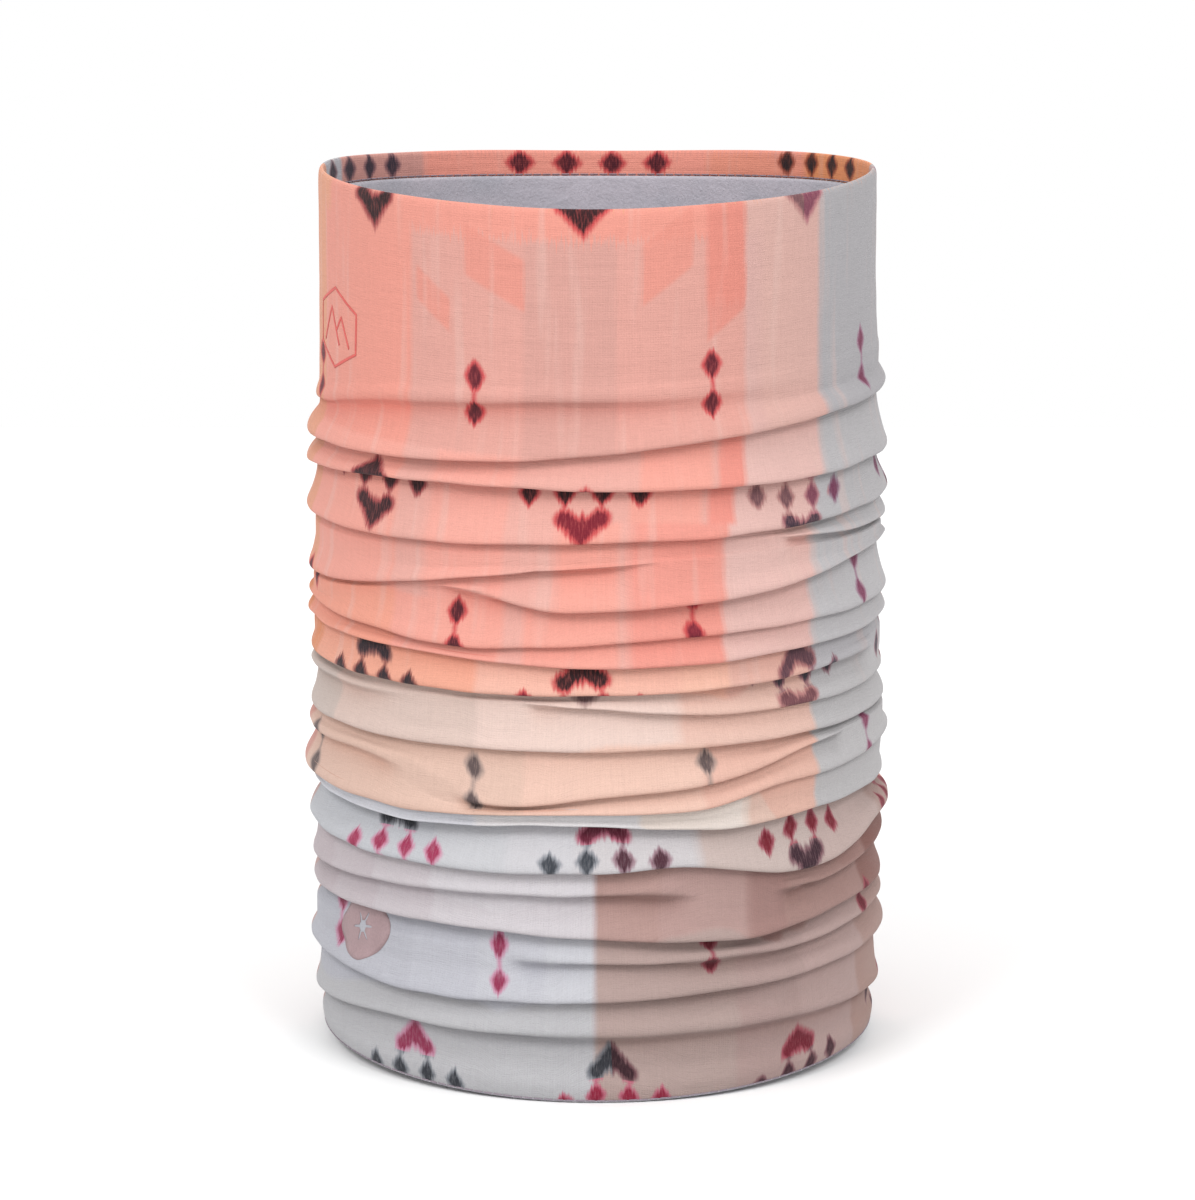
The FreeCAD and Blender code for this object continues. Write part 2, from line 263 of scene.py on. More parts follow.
def shell_net(angles):
    """The printed cloth: hidden allowance, turned-in band, rim, smooth stretch, folds, edge."""
    net = Net(angles)
    rim = RIM_LOW + edge_height(angles) + 0.25 * wander(angles, 3, 8, 11)
    seam_wave = 0.16 * wander(angles, 30, 60, 12)
    for radius, below in RIM_SECTION:
        net.add(radius, rim - below + (seam_wave if below > TOP_SEAM else 0))
    net.rim_control = RIM_SECTION.index(RIM_CREST)
    folds = crease_rows(angles)
    top, first = rim - 5.0, folds[0]["z"] + 5.0
    for k in range(FIRST_WALL_STEPS):
        part = k / (FIRST_WALL_STEPS - 1)
        swell = 0.09 * wander(angles, 2, 7, 20 + k) + 0.04 * wander(angles, 8, 20, 40 + k)
        net.add(mix(WALL_RADIUS, folds[0]["lip"] - 0.9, part ** 4) + swell, mix(top, first, part))
    for n, fold in enumerate(folds):
        z, w, lip, drop = fold["z"], fold["weight"], fold["lip"], fold["drop"]
        below_z = folds[n + 1]["z"] if n + 1 < len(folds) else 1.5 + edge_height(angles)
        above_gap = (folds[n - 1]["z"] - z) if n else np.full_like(z, 40.0)
        below_gap = z - below_z
        reach_up = np.clip(0.4 * above_gap, 0.8, 3.6)
        reach_down = np.clip(0.35 * below_gap, 0.7, 2.2)
        squeeze = np.clip(np.minimum(above_gap, below_gap) / 5.0, 0.35, 1.0)
        tuck_top = np.clip(0.4 * fold["tuck"], 1.2, 3.0)
        tuck_top = np.minimum(tuck_top, np.clip(0.32 * above_gap, 0.7, 3.0))
        wall = lip - 0.5 * drop
        inner = lip - drop
        start = len(net.radius)
        # control rows: (radius, height) in a full tuck, then (radius, height above z) in a soft valley
        for full_r, full_z, soft_r, soft_off in (
                (lip - 0.85, z + reach_up, lip - 0.5, reach_up + 0.5),
                (lip + 0.15, z + 0.40 * reach_up, lip + 0.05, 0.6 * reach_up + 0.3),
                (lip + 0.10, z - 0.1, lip - 0.15, 0.7),
                (lip - 0.50 * drop, z - 0.25, lip - 0.45 * drop, 0.1),
                (lip - 0.58 * drop, z + 0.5 * tuck_top, lip - 0.65 * drop, -0.3),
                (lip - 0.62 * drop, z + tuck_top, lip - 0.8 * drop, -0.7),
                (inner - 0.1, z + tuck_top, lip - 0.95 * drop, -1.1),
                (inner, z + 0.4 * tuck_top, inner, -1.5),
                (inner + 0.1, z - reach_down, inner + 0.1, -reach_down - 0.6)):
            plain_r = mix(wall, soft_r, fold["soft"])
            net.add(mix(plain_r, full_r, w), mix(z + squeeze * soft_off, full_z, w))
        net.tucks.append((start + 3, start + 7, n))
        steps = 1 if np.median(below_gap) < 9 else 2
        under_lip = folds[n + 1]["lip"] if n + 1 < len(folds) else np.full_like(z, EDGE_RADIUS)
        under_w = folds[n + 1]["soft"] if n + 1 < len(folds) else 1.0
        next_wall = folds[n + 1]["lip"] - 0.5 * folds[n + 1]["drop"] if n + 1 < len(folds) else under_lip
        under = mix(next_wall, under_lip - 0.85, under_w)
        from_r = mix(wall, inner + 0.1, fold["soft"])
        low_z = below_z + (np.clip(0.4 * below_gap, 0.8, 3.6) if n + 1 < len(folds) else 4.0)
        high_z = z - reach_down
        for k in range(steps):
            part = (k + 1) / (steps + 1)
            swell = 0.12 * wander(angles, 5, 16, 600 + 10 * n + k)
            net.add(mix(from_r, under, part ** 1.5) + swell, mix(high_z, low_z, part))
    foot = LINING_PEEK + edge_height(angles)
    for out, above in EDGE_SECTION:
        net.add(EDGE_RADIUS + out, foot + above)
    return net, folds


def cloth_distance(net, folds, radius, height):
    """Distance along the cloth from the rim for every mesh row, hidden cloth counted in full."""
    step = np.hypot(np.diff(radius, axis=0), np.diff(height, axis=0))
    for start, end, n in net.tucks:
        a, b = net.rows_of(start), net.rows_of(end)
        hidden = step[a:b].sum(0)
        wanted = mix(hidden, np.maximum(folds[n]["tuck"], hidden), folds[n]["weight"])
        step[a:b] *= wanted / hidden
    distance = np.vstack([np.zeros_like(step[0]), np.cumsum(step, axis=0)])
    return distance - distance[net.rows_of(net.rim_control)]


# printed columns: (angle, column number); the print breaks at the side seam
COLUMN_ANGLES = [(-267, -4.48), (-238.1, -4), (-178.5, -3), (-115.7, -2), (-77, -1.5), (-49.5, -1),
                 (-26, -0.5), (-2.7, 0), (21, 0.5), (44.5, 1), (67.5, 1.5), (93, 2.05)]
ROW_PITCH = 108.0  # mm of cloth from one row of motifs to the next
FIRST_ROW = -4.0  # the first row lies on the turned-in band


def print_column(angles):
    at, column = zip(*COLUMN_ANGLES)
    return np.interp(angles, at, column)


# the print runs a little high or low round the tube: {mm down the cloth: [(angle, mm)]}
PRINT_DRIFT = {
    4: [(-120, 0), (-51, -1.6), (-3, -3.8), (46, -3.5), (93, 0), (180, 0)],
    50: [(-120, 3), (-79, 5.5), (-24, 2), (23, -1.2), (69, 0.2), (180, 0)],
    104: [(0, 0), (180, 0)],
    158: [(-79, 0), (0, 0), (65, -2), (180, 0)],
    212: [(-50, -2), (-3, 1.2), (44, 0), (180, 0)],
    266: [(0, 0), (180, 0)],
    320: [(-62, 0.5), (-50, 0), (-38, 0), (-10, -2.4), (-2, 0.4), (5, 1.5), (38, -1.5), (50, -2.5),
          (62, -4), (180, 0)],
    374: [(-62, -4), (-20, 1.4), (23, 5.5), (67, 0.8), (180, 0)],
    425: [(-62, 0), (-45, -1), (-30, 0), (-8, 1.8), (0, 3.2), (20, -0.5), (32, -6), (38, -5.6),
          (43, -5), (48, -3.2), (62, -3), (180, 0)],
}
# and a little sideways: {mm down the cloth: [(angle, degrees)]}
SIDE_DRIFT = {
    4: [(-128, 1.5), (-112, -2), (-51, -1.2), (-3, -0.3), (46, 1.7), (93, 0), (112, 1.5), (132, -1.8),
        (180, 0)],
    50: [(-79, 0), (-24, 1.5), (23, 2.2), (69, 0.3), (180, 0)],
    104: [(-50, 0.6), (0, 0), (45, -0.8), (180, 0)],
    158: [(-28, -2.8), (19, -2.3), (65, -3.2), (180, 0)],
    212: [(-62, 2), (-50, 0.2), (-38, -0.8), (0, 0), (44, -1.5), (180, 0)],
    266: [(-24, 1.5), (22, 0.8), (67, 0), (180, 0)],
    320: [(-62, 8.5), (-50, 7), (-38, 5.7), (0, 4.3), (38, 1.8), (50, 0.3), (62, -2), (180, 0)],
    374: [(-62, 13), (-20, 6.3), (23, 1.8), (67, 0), (180, 0)],
    425: [(-62, 12.5), (-45, 10), (-33, 9), (0, 6), (45, 1), (180, 0)],
}


def drift_field(table, angles, cloth):
    """How far the print lies off its even place, for every mesh row and angle."""
    levels = sorted(table)
    lines = np.array([round_line(table[level], angles) for level in levels])
    field = np.zeros_like(cloth)
    for column in range(cloth.shape[1]):
        field[:, column] = np.interp(cloth[:, column], levels, lines[:, column])
    return field


def crease_shade(net, folds, cloth):
    """Painted crease shade for the print's colour: 1 in the creases, fading out over the cloth above and
    below them.
    """
    shade = np.zeros_like(cloth)
    for start, end, n in net.tucks:
        above, below = cloth[net.rows_of(start)], cloth[net.rows_of(end)]
        off = np.maximum(above - cloth, 0) / 0.8 + np.maximum(cloth - below, 0) / 3.2
        shade = np.maximum(shade, np.exp(-off) * folds[n]["soft"])
    return shade


def put(name, data):
    """A new object in the scene."""
    made = bpy.data.objects.new(name, data)
    bpy.context.scene.collection.objects.link(made)
    return made


def place_mesh(name, mesh):
    """Shade a mesh smooth and put it in the scene."""
    mesh.polygons.foreach_set("use_smooth", np.ones(len(mesh.polygons), bool))
    mesh.update()
    return put(name, mesh)


def tube_mesh(name, angles, radius, height, uvs):
    """A closed-round sheet of quads, with UV layers {name: (u, v)}; the last angle is the first again."""
    rows, columns = radius.shape[0], len(angles) - 1
    turn = np.radians(angles[:-1])
    x = radius[:, :-1] * np.sin(turn) * MM
    y = -radius[:, :-1] * np.cos(turn) * MM
    points = np.stack([x, y, height[:, :-1] * MM], -1).reshape(-1, 3)
    row, column = np.meshgrid(np.arange(rows - 1), np.arange(columns), indexing="ij")
    after = (column + 1) % columns
    faces = np.stack([row * columns + column, (row + 1) * columns + column,
                      (row + 1) * columns + after, row * columns + after], -1).reshape(-1, 4)
    mesh = bpy.data.meshes.new(name)
    mesh.from_pydata(points.tolist(), [], faces.tolist())
    corner = row * (columns + 1) + column
    under = corner + columns + 1
    corners = np.stack([corner, under, under + 1, corner + 1], -1).reshape(-1)
    for layer, (u, v) in uvs.items():
        both = np.stack([np.broadcast_to(u, radius.shape), v], -1).reshape(-1, 2)
        flat = both[corners].astype(np.float32).reshape(-1)
        mesh.uv_layers.new(name=layer).data.foreach_set("uv", flat)
    return place_mesh(name, mesh)


def give_thickness(piece, thickness):
    """Thicken a sheet inwards, by mm."""
    solid = piece.modifiers.new("thickness", "SOLIDIFY")
    solid.thickness = thickness * MM
    solid.offset = -1
    solid.use_even_offset = False


def make_shell():
    """The printed cloth, and where it lies: (angles, radius, height, cloth distance)."""
    angles = np.linspace(SIDE_SEAM - 360, SIDE_SEAM, COLUMNS + 1)
    net, folds = shell_net(angles)
    radius, height = net.surface()
    cloth = cloth_distance(net, folds, radius, height)
    level = cloth - drift_field(PRINT_DRIFT, angles, cloth)
    column = print_column(angles - drift_field(SIDE_DRIFT, angles, cloth))
    uvs = {
        "cloth": (angles, cloth),
        # painted crease shade, which darkens the print's colour in and below the creases
        "shade": (angles, crease_shade(net, folds, cloth)),
        "print": (column, (level - FIRST_ROW) / ROW_PITCH),
    }
    piece = tube_mesh("shell_cloth", angles, radius, height, uvs)
    give_thickness(piece, CLOTH_THICKNESS)
    return piece, (angles, radius, height, cloth)


# ---- shader helpers ----
def srgb(color):
    """A linear colour from 0-255 display values."""
    out = []
    for value in color:
        v = value / 255
        out.append(v / 12.92 if v <= 0.04045 else ((v + 0.055) / 1.055) ** 2.4)
    return (*out, 1.0)


class Term:
    """A shader value that takes part in formulas like a number."""

    def __init__(self, tree, socket):
        self.tree, self.socket = tree, socket

    def math(self, operation, *others):
        node = self.tree.nodes.new("ShaderNodeMath")
        node.operation = operation
        for slot, value in zip(node.inputs, (self, *others)):
            if isinstance(value, Term):
                self.tree.links.new(value.socket, slot)
            else:
                slot.default_value = value
        return Term(self.tree, node.outputs[0])

    __add__ = partialmethod(math, "ADD")
    __sub__ = partialmethod(math, "SUBTRACT")
    __mul__ = partialmethod(math, "MULTIPLY")
    __abs__ = partialmethod(math, "ABSOLUTE")
    __neg__ = partialmethod(math, "MULTIPLY", -1.0)
    at_most = partialmethod(math, "MINIMUM")
    at_least = partialmethod(math, "MAXIMUM")
    nearest = partialmethod(math, "ROUND")

    def step(self, low, high):
        """0 below low, 1 above high, smooth between."""
        node = self.tree.nodes.new("ShaderNodeMapRange")
        node.interpolation_type = "SMOOTHSTEP"
        self.tree.links.new(self.socket, node.inputs["Value"])
        node.inputs["From Min"].default_value = low
        node.inputs["From Max"].default_value = high
        return Term(self.tree, node.outputs["Result"])


class Paint:
    """Nodes of one material."""

    def __init__(self, name, roughness):
        self.material = bpy.data.materials.new(name)
        self.material.use_nodes = True
        self.tree = self.material.node_tree
        self.shader = self.tree.nodes["Principled BSDF"]
        self.shader.inputs["Roughness"].default_value = roughness
        self.shader.inputs["Specular IOR Level"].default_value = 0.25

    def coordinates(self, layer):
        """The two values of a UV layer."""
        uv = self.tree.nodes.new("ShaderNodeUVMap")
        uv.uv_map = layer
        split = self.tree.nodes.new("ShaderNodeSeparateXYZ")
        self.tree.links.new(uv.outputs["UV"], split.inputs["Vector"])
        return Term(self.tree, split.outputs["X"]), Term(self.tree, split.outputs["Y"])

    def place(self):
        """Object coordinates, in metres."""
        node = self.tree.nodes.new("ShaderNodeTexCoord")
        return node.outputs["Object"]

    def noise(self, x, y, detail=2.0, roughness=0.55):
        """Noise over two terms, about 0.5."""
        join = self.tree.nodes.new("ShaderNodeCombineXYZ")
        self.tree.links.new(x.socket, join.inputs["X"])
        self.tree.links.new(y.socket, join.inputs["Y"])
        return self.noise_at(join.outputs["Vector"], 1.0, detail, roughness)

    def noise_at(self, vector, scale, detail=2.0, roughness=0.55):
        node = self.tree.nodes.new("ShaderNodeTexNoise")
        self.tree.links.new(vector, node.inputs["Vector"])
        node.inputs["Scale"].default_value = scale
        node.inputs["Detail"].default_value = detail
        node.inputs["Roughness"].default_value = roughness
        return Term(self.tree, node.outputs["Fac"])

    def ramp(self, value, low, high, stops, hard=False):
        """A colour for each stretch of a value: stops are (value, colour)."""
        node = self.tree.nodes.new("ShaderNodeValToRGB")
        node.color_ramp.interpolation = "CONSTANT" if hard else "LINEAR"
        marks = node.color_ramp.elements
        while len(marks) < len(stops):
            marks.new(0.5)
        for mark, (at, color) in zip(marks, stops):
            mark.position = min(1, max(0, (at - low) / (high - low)))
        for mark, (at, color) in zip(marks, stops):
            mark.color = srgb(color)
        part = (value - low) * (1.0 / (high - low))
        self.tree.links.new(part.socket, node.inputs["Fac"])
        return node.outputs["Color"]

    def blend(self, factor, first, second, way="MIX"):
        """first where the factor is 0, second where it is 1."""
        node = self.tree.nodes.new("ShaderNodeMix")
        node.data_type, node.blend_type = "RGBA", way
        for slot, value in ((node.inputs[0], factor), (node.inputs[6], first), (node.inputs[7], second)):
            if isinstance(value, Term):
                self.tree.links.new(value.socket, slot)
            elif isinstance(value, tuple):
                slot.default_value = srgb(value)
            elif isinstance(value, (float, int)):
                slot.default_value = value
            else:
                self.tree.links.new(value, slot)
        return node.outputs[2]

    def grey(self, value):
        """A value as a colour."""
        join = self.tree.nodes.new("ShaderNodeCombineColor")
        for slot in join.inputs:
            self.tree.links.new(value.socket, slot)
        return join.outputs[0]

    def finish(self, color, height=None, depth=0.0, sheen=0.0):
        self.tree.links.new(color, self.shader.inputs["Base Color"])
        if height is not None:
            bump = self.tree.nodes.new("ShaderNodeBump")
            bump.inputs["Distance"].default_value = depth * MM
            self.tree.links.new(height.socket, bump.inputs["Height"])
            self.tree.links.new(bump.outputs["Normal"], self.shader.inputs["Normal"])
        self.shader.inputs["Sheen Weight"].default_value = sheen
        return self.material


# ---- the print ----
def edges(runs):
    """Ramp stops for runs of colour: (starts at angle, colour), with narrow soft edges."""
    soft = 0.35
    stops = []
    for n, (start, color) in enumerate(runs):
        if n:
            stops.append((start - soft, runs[n - 1][1]))
            stops.append((start + soft, color))
        else:
            stops.append((start, color))
    return stops


PEACH = (229, 162, 132)
ORANGE = (226, 148, 106)
CORAL = (234, 155, 139)
DEEP_CORAL = (227, 142, 127)
PATCH_CORAL = (229, 147, 131)
PINK = (222, 162, 150)
PALE_PINK = (214, 159, 148)
BLUSH = (218, 174, 164)
SILVER = (177, 174, 177)
WARM_CORAL = (238, 165, 150)
WARM_PINK = (230, 171, 159)
# some of these bands start farther down on the right: (shift begins at, is full at, mm)
RIGHT_SHIFT = {222: (26, 38, -11), 288: (29, 43, 18), 303: (26, 38, 3), 327: (26, 38, 6),
               364: (26, 38, 7)}
# the colour runs that the bands share on the back
BACK_TOP = ((-267, ORANGE), (-232, CORAL), (-138, PINK), (-107, SILVER), (-93, PEACH))
BACK_MIDDLE = ((-267, PALE_PINK), (-232, PINK), (-138, CORAL), (-107, ORANGE))
BACK_GREY = ((-267, BLUSH), (-230, SILVER), (-138, PALE_PINK))
BACK_LOW = ((-267, PINK), (-215, SILVER), (-138, (200, 170, 165)))
# and on the front
TOP_LEFT = ((-74, CORAL), (-40, PINK), (-14.5, PALE_PINK), (4, PINK))
TOP_RIGHT = ((30.4, (216, 172, 164)), (34, BLUSH), (50.6, SILVER))
WARM_LEFT = ((-72, WARM_CORAL), (-40, WARM_PINK), (-32, (238, 168, 154)), (-14.5, WARM_PINK))
WARM_RIGHT = ((7.5, WARM_PINK), (10, (235, 155, 141)), (29.4, (227, 186, 178)), (50.6, (194, 191, 193)))
# ground colours: (cloth distance where the band starts, colour runs round the tube)
GROUND = [
    # painted light: the band turned in over the rim, seen inside the back, has most of its back colours
    # brighter than the same dyes below the rim, making up for the shade inside the tube
    (-60, [(-267, (244, 156, 104)), (-232, (246, 158, 134)), (-205, (250, 162, 144)),
        (-138, (216, 156, 146)), (-107, (196, 194, 200)), (-93, PEACH)]),
    (-1, [*BACK_TOP, (-70, CORAL), (22, DEEP_CORAL), (30.4, BLUSH), (50.6, SILVER)]),
    (9, [*BACK_TOP, *TOP_LEFT, (22, DEEP_CORAL), *TOP_RIGHT]),
    (27, [*BACK_TOP, *TOP_LEFT, *TOP_RIGHT]),
    (68, [*BACK_TOP, *WARM_LEFT, (9, WARM_CORAL), (23.5, WARM_PINK), (24.5, (236, 150, 136)),
        (30.6, (227, 186, 178)), (50.6, (190, 187, 189))]),
    (112, [*BACK_TOP, *WARM_LEFT, (-4, WARM_CORAL), *WARM_RIGHT]),
    (150, [*BACK_MIDDLE, (-80, (238, 162, 140)), (-40, WARM_CORAL), (-14.5, WARM_PINK), (-10, WARM_CORAL),
        *WARM_RIGHT]),
    (196, [*BACK_MIDDLE, (-70, (238, 170, 146)), (-20, (238, 184, 166)), (20, (240, 188, 168)),
        (30.6, (228, 180, 166)), (50.6, (186, 183, 186))]),
    (222, [*BACK_GREY, (-100, (206, 190, 182)), (-60, (220, 196, 186)), (-20, (230, 204, 194)),
        (20, (230, 192, 178)), (51.5, (194, 191, 192))]),
    (246, [*BACK_GREY, (-80, (224, 190, 174)), (-10, (232, 194, 178)), (25, (228, 184, 168)),
        (51.5, (194, 191, 192))]),
    (288, [*BACK_LOW, (-86, (216, 216, 222)), (-20, (226, 223, 224)), (12, (232, 220, 212)),
        (34, (226, 194, 180)), (48, (196, 174, 168))]),
    (303, [*BACK_LOW, (-86, (196, 197, 202)), (-34, (200, 200, 204)), (-18, (204, 202, 206)),
        (-4, (205, 200, 202)), (20, (202, 184, 178)), (48, (196, 174, 168)), (72, (182, 154, 146))]),
    (327, [*BACK_LOW, (-88, (196, 184, 188)), (-66, (201, 191, 195)), (-50, (206, 198, 202)),
        (-34, (211, 206, 210)), (-0.4, (177, 144, 137)), (12, (180, 146, 139)), (31, (162, 124, 117)),
        (40, (166, 130, 123)), (66, (140, 96, 88))]),
    (344, [*BACK_LOW, (-88, (195, 183, 187)), (-66, (200, 190, 194)), (-50, (204, 196, 200)),
        (-34, (208, 202, 206)), (-0.4, (182, 149, 142)), (12, (184, 152, 146)), (31, (166, 130, 124)),
        (40, (170, 136, 129)), (66, (146, 104, 96))]),
    (364, [*BACK_LOW, (-88, (188, 188, 196)), (-40, (192, 192, 200)), (-24, (197, 197, 204)),
        (-10, (201, 201, 207)), (-0.4, (180, 157, 151)), (29, (179, 154, 149)), (45, (186, 160, 155)),
        (66, (177, 146, 138))]),
    (398, [*BACK_LOW, (-88, (190, 189, 192)), (-0.4, (180, 158, 152)), (29, (178, 152, 147)),
        (45, (184, 158, 153)), (66, (175, 143, 134))]),
]
BLACK = (30, 12, 18)
WINE = (72, 14, 30)
CRIMSON = (136, 14, 44)
MAGENTA = (144, 36, 74)
SLATE = (44, 46, 54)
RED_EDGE = (204, 58, 66)
# two zones share these runs on the right: (column up to which, middle, fringe)
RIGHT_FIGURES = ((0.95, (118, 78, 84), (176, 120, 118)), (1.13, (128, 62, 84), (180, 110, 120)),
                 (9, (118, 44, 80), (150, 110, 132)))
# figure colours: (print row where the zone starts, [(column up to which, middle, fringe)])
MOTIFS = [
    (-1.0, [(-3.5, BLACK, (150, 60, 40)), (-2.5, WINE, RED_EDGE), (-1.75, (48, 36, 52), (120, 80, 90)),
        (-0.6, BLACK, (150, 50, 58)), (0.6, BLACK, RED_EDGE), *RIGHT_FIGURES]),
    (0.3, [(-1.75, WINE, RED_EDGE), (1.3, (92, 20, 36), RED_EDGE), (9, (122, 44, 78), (160, 110, 136))]),
    (0.7, [(-1.75, WINE, RED_EDGE), (-0.6, (40, 16, 24), (160, 50, 60)), (0.6, BLACK, RED_EDGE),
        *RIGHT_FIGURES]),
    (1.05, [(-0.6, (44, 18, 26), (160, 50, 60)), (0.6, (120, 18, 40), RED_EDGE),
        (9, (60, 42, 58), (160, 90, 100))]),
    (1.3, [(-0.3, WINE, RED_EDGE), (1.3, (120, 24, 46), RED_EDGE), (9, (128, 48, 84), (160, 110, 136))]),
    (1.7, [(-0.6, (36, 26, 38), (110, 60, 66)), (0.6, BLACK, RED_EDGE),
        (9, (92, 58, 70), (160, 96, 100))]),
    (1.955, [(-0.6, (36, 30, 38), (130, 60, 60)), (0.6, CRIMSON, RED_EDGE),
        (9, (58, 56, 68), (150, 96, 110))]),
    (2.045, [(0.6, (120, 90, 92), (170, 140, 135)), (9, (116, 68, 76), (184, 120, 120))]),
    (2.3, [(1.3, (96, 80, 80), (170, 148, 140)), (9, (140, 50, 90), (170, 130, 150))]),
    (2.7, [(-0.6, SLATE, (110, 110, 118)), (0.6, (100, 18, 46), (180, 80, 110)),
        (9, CRIMSON, (166, 52, 78))]),
    (2.955, [(-0.6, (160, 40, 80), (206, 130, 160)), (-0.02, (56, 60, 68), (130, 134, 142)),
        (0.6, (74, 34, 48), (150, 110, 124)), (9, (120, 8, 34), (162, 52, 78))]),
    (3.045, [(0.6, SLATE, (120, 110, 118)), (9, (52, 20, 36), (120, 70, 84))]),
    (3.3, [(0.0, MAGENTA, (200, 130, 160)), (9, (108, 6, 32), (158, 60, 80))]),
    (3.7, [(-0.5, MAGENTA, (200, 130, 160)), (-0.03, (40, 42, 50), (110, 114, 122)),
        (0.5, (48, 16, 28), (110, 60, 72)), (9, (112, 6, 34), (164, 58, 80))]),
    (3.955, [(-0.5, SLATE, (120, 124, 132)), (0.5, (146, 18, 54), (190, 92, 118)),
        (9, (60, 18, 34), (124, 74, 84))]),
]
# coral patches near the top: left and right edge (angle), top and bottom (cloth at angle 0), slope
PATCHES = [
    (-38.5, -30.5, 57.0, 66.0, 1.0, PATCH_CORAL),
    (-27.0, -14.5, 24.6, 38.4, 0.70, PATCH_CORAL),
    (8.9, 19.0, 19.0, 35.4, -1.0, PATCH_CORAL),
    (22.2, 30.4, 47.0, 59.3, -1.0, DEEP_CORAL),
]
PALE_STREAK = (228, 192, 182)
DYE = 0.64  # brightness of the dyed cloth
WALE_PITCH, COURSE_PITCH = 0.72, 0.62  # the knit's loops, mm
COLUMN_PITCH = 61.0  # mm from one column of motifs to the next
DIAMOND_SPOTS = (4.75, 14.25)  # mm either side of the middle of a motif
DIAMOND = (2.9, 4.0)  # half width and half height of a diamond, mm


def motif_depth(column, row, ragged):
    """Mm inside the nearest figure: rows of four diamonds with arrows, and pairs between them."""
    x = abs((column - column.nearest()) * COLUMN_PITCH)
    y = abs((row - row.nearest()) * ROW_PITCH + ragged)
    middle = sum(DIAMOND_SPOTS) / 2
    beside = abs(abs(x - middle) - (DIAMOND_SPOTS[1] - middle))
    half_width, half_height = DIAMOND
    leaf = (y * (1 / half_height)).math("POWER", 1.35) * -half_width - beside + half_width
    # an arrow: a thick bar from (0, 10.6) out to (4.6, 7.1), mirrored, with a lozenge at its tip
    along = (x * 0.79 - (y - 10.6) * 0.613).at_least(0.0).at_most(5.8)
    off_x, off_y = x - along * 0.79, y - 10.6 + along * 0.613
    bar = -((off_x * off_x + off_y * off_y).math("SQRT")) + 2.6
    tip = (-x - abs(y - 10.7) * 0.9 + 4.4) * 0.7
    link = (-abs(x - DIAMOND_SPOTS[0]) + 0.42).at_most(-(y - 8.0))
    group = leaf.at_least(bar).at_least(tip).at_least(link)
    half_column, half_row = column + 0.5, row + 0.5
    px = abs((half_column - half_column.nearest()) * COLUMN_PITCH)
    py = abs((half_row - half_row.nearest()) * ROW_PITCH + ragged)
    pair = (abs(py - 5.0) * (1 / 4.1)).math("POWER", 1.5) * -2.75 - px + 2.75
    thread = (-px + 0.35).at_most(-(py - 4.0))
    return group.at_least(pair).at_least(thread)


def within(value, low, high, soft):
    """1 between low and high, 0 outside them, changing over soft either side of each."""
    return value.step(low - soft, low + soft) * (-value).step(-high - soft, -high + soft)


def ground_color(paint, angle, cloth, streak, broad):
    """The ground: bands of colour runs whose edges lean a little, and patches near the top."""
    leaning = cloth.step(60, 130) - cloth.step(300, 304)
    lean = angle + leaning * 4.0 + (streak - 0.5) * 1.0
    level = cloth + (streak - 0.5) * (cloth.step(60, 20) * 14.0 + 1.0)
    ground = None
    for start, runs in GROUND:
        own = paint.ramp(lean, SIDE_SEAM - 360, SIDE_SEAM, edges(runs))
        shifted = level
        if start in RIGHT_SHIFT:
            begins, full, down = RIGHT_SHIFT[start]
            shifted = level - angle.step(begins, full) * down
        begun = shifted.step(start - 1.2, start + 1.2)
        ground = own if ground is None else paint.blend(begun, ground, own)
    ragged = angle + (streak - 0.5) * 1.6
    for left, right, top, bottom, slope, patch in PATCHES:
        inside = within(ragged, left, right, 0.6) * within(cloth - angle * slope, top, bottom, 1.0)
        ground = paint.blend(inside * 0.8, ground, patch)
    pale = broad.step(0.54, 0.70) * (-cloth).step(-230, -200) * 0.3
    return paint.blend(pale, ground, PALE_STREAK)


def motif_ramp(paint, column, runs, which):
    """The colour of each column's figures in one zone: 1 for their middles, 2 for their fringes."""
    stops = [(-9.0, runs[0][which])] + [(runs[n][0], runs[n + 1][which]) for n in range(len(runs) - 1)]
    return paint.ramp(column, -9.0, 9.0, stops, hard=True)


def motif_color(paint, column, row, which):
    """The figures' colour, changed over from one zone of rows to the next."""
    color = None
    for start, runs in MOTIFS:
        own = motif_ramp(paint, column, runs, which)
        color = own if color is None else paint.blend(row.step(start - 0.001, start + 0.001), color, own)
    return color


